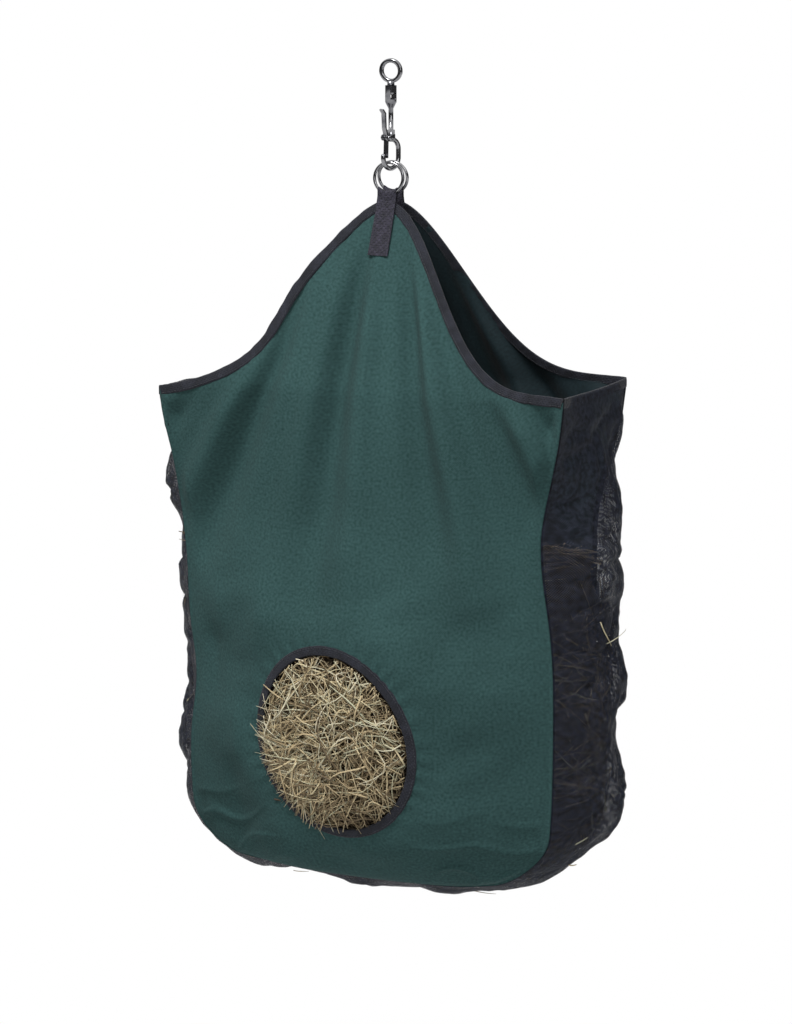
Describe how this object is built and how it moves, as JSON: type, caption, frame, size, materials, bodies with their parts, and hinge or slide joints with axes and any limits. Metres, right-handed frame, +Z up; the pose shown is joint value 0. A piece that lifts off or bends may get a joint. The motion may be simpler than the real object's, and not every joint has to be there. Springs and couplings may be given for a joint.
{
  "type": "hanging hay bag",
  "caption": "Hanging canvas hay bag with mesh gusset, bound feed hole low in front, and webbing tabs on two rings hung from a swivel trigger snap.",
  "frame": {"origin": "centre of the swivel eye's hole, from which the bag hangs", "axes": "+Z up, along the hanging line; the feed hole faces -Y; +X is the bag's right side seen from the front"},
  "size_m": [0.5994, 0.3392, 1.0542],
  "materials": {
    "polished_steel": "polished",
    "spring_steel": "satin",
    "webbing": "matte",
    "thread": "matte",
    "canvas": "matte",
    "mesh": "matte",
    "binding": "matte",
    "hay": "matte"
  },
  "bodies": {
    "eye": {"swivel_eye": "polished_steel"},
    "snap": {"snap_body": "polished_steel", "gate_rivet": "polished_steel"},
    "gate": {"snap_gate": "polished_steel", "gate_spring": "spring_steel"},
    "ring_front": {"front_ring": "polished_steel"},
    "ring_back": {"back_ring": "polished_steel"},
    "bag": {"front_hanging_tab": "webbing", "back_hanging_tab": "webbing", "front_tab_stitches": "thread", "back_tab_stitches": "thread", "front_panel": "canvas", "back_panel": "canvas", "mesh_gusset": "mesh", "front_top_binding": "binding", "back_top_binding": "binding", "left_gusset_binding": "binding", "right_gusset_binding": "binding", "front_seam_binding": "binding", "back_seam_binding": "binding", "hay_hole_binding": "binding", "hay": "hay"}
  },
  "joints": [
    {"name": "swivel", "type": "hinge", "parent": "eye", "child": "snap", "pos_m": [0, 0, 0], "axis": [0, 0, 1], "continuous": true},
    {"name": "gate_pivot", "type": "hinge", "parent": "snap", "child": "gate", "pos_m": [-0.00287, -0.00747, -0.0814], "axis": [0.9336, -0.3584, 0], "range_deg": [0, 25], "stiffness_Nm_per_rad": 0.2, "springref_deg": -17.19},
    {"name": "swing_fore_aft", "type": "hinge", "parent": "snap", "child": "ring_front", "pos_m": [0, 0, -0.10681], "axis": [1, 0, 0], "range_deg": [-20, 20]},
    {"name": "back_ring_swing", "type": "hinge", "parent": "snap", "child": "ring_back", "pos_m": [0, 0, -0.10681], "axis": [1, 0, 0], "range_deg": [-20, 20]},
    {"name": "swing_sideways", "type": "hinge", "parent": "ring_front", "child": "bag", "pos_m": [0, 0, -0.13102], "axis": [0, 1, 0], "range_deg": [-25, 25]}
  ],
  "couplings": [
    {"joint": "back_ring_swing", "follows": "swing_fore_aft", "ratio": 1}
  ]
}
